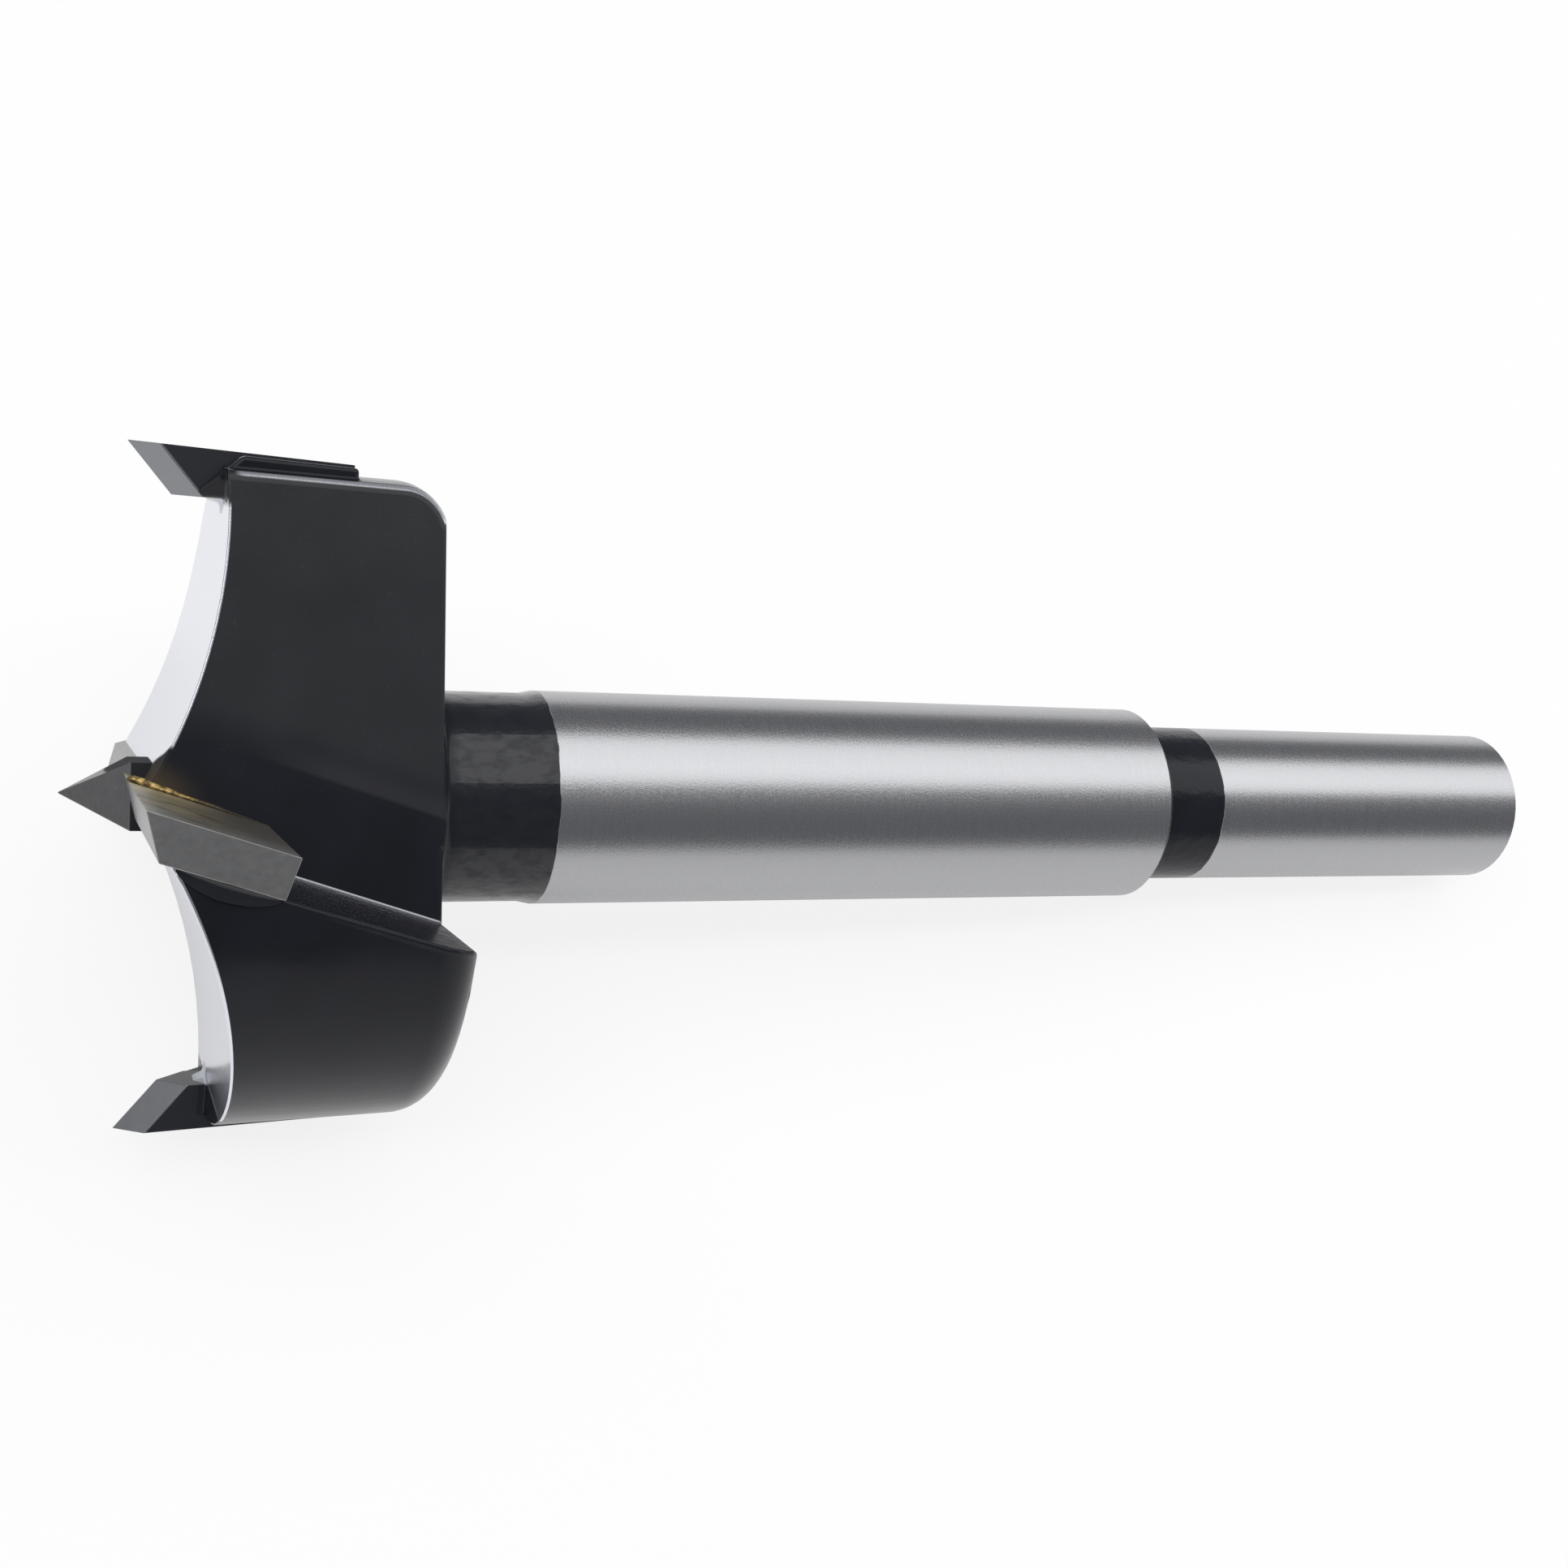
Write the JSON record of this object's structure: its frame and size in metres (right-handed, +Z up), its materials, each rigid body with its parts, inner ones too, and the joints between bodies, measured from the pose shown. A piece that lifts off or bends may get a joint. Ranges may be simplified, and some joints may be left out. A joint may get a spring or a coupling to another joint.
{
  "type": "forstner bit",
  "caption": "Carbide-tipped boring bit for flat-bottomed holes in wood: a black winged head with rim spurs and a centre point, on a bright stem that steps down to a plain round shank.",
  "frame": {"origin": "middle of the cylindrical wall of the shank, on the bit's axis", "axes": "+Z up from the level ground the bit lies on; +X level, along the lying bit from its head towards the shank's end; +Y completes a right-handed frame"},
  "size_m": [0.0899, 0.0332, 0.0289],
  "materials": {
    "black_steel": "gloss black paint on the head, the neck and a short band of the shank; ground bright steel on the stem and shank",
    "carbide": "ground cemented carbide, mid grey, brazed into the steel"
  },
  "bodies": {
    "root": {"steel_body": "black_steel", "main_cutter_1": "carbide", "main_cutter_2": "carbide", "spur_1": "carbide", "spur_2": "carbide", "centre_point": "carbide"}
  },
  "joints": []
}
